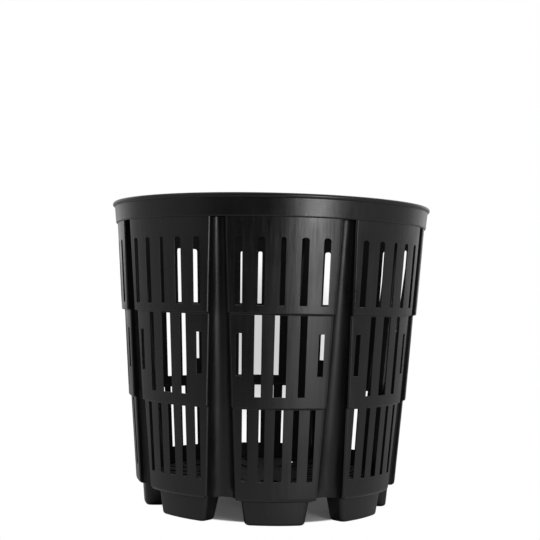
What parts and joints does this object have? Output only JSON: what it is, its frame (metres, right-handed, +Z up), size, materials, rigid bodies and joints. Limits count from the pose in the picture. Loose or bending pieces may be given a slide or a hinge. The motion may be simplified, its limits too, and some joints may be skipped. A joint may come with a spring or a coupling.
{
  "type": "root pruning pot",
  "caption": "Round black plastic plant pot with stepped, slotted wall panels, flutes that guide roots between them, a rolled rim, a slotted floor and moulded feet.",
  "frame": {"origin": "on the pot's axis, at the level of the feet, so the ground is z = 0", "axes": "+Z up along the pot's axis, towards the open mouth; -Y through the middle of wall panel 1"},
  "size_m": [0.26, 0.26, 0.2418],
  "materials": {
    "rim": "satin black moulded polypropylene",
    "panel": "satin black moulded polypropylene",
    "flute": "satin black moulded polypropylene",
    "foot": "satin black moulded polypropylene",
    "floor": "satin black moulded polypropylene"
  },
  "bodies": {
    "root": {"rim_band": "rim", "wall_panel_1": "panel", "wall_panel_2": "panel", "wall_panel_3": "panel", "wall_panel_4": "panel", "wall_panel_5": "panel", "wall_panel_6": "panel", "wall_panel_7": "panel", "wall_panel_8": "panel", "flute_1": "flute", "flute_2": "flute", "flute_3": "flute", "flute_4": "flute", "flute_5": "flute", "flute_6": "flute", "flute_7": "flute", "flute_8": "flute", "foot_1": "foot", "foot_2": "foot", "foot_3": "foot", "foot_4": "foot", "foot_5": "foot", "foot_6": "foot", "foot_7": "foot", "foot_8": "foot", "floor_grate": "floor"}
  },
  "joints": []
}
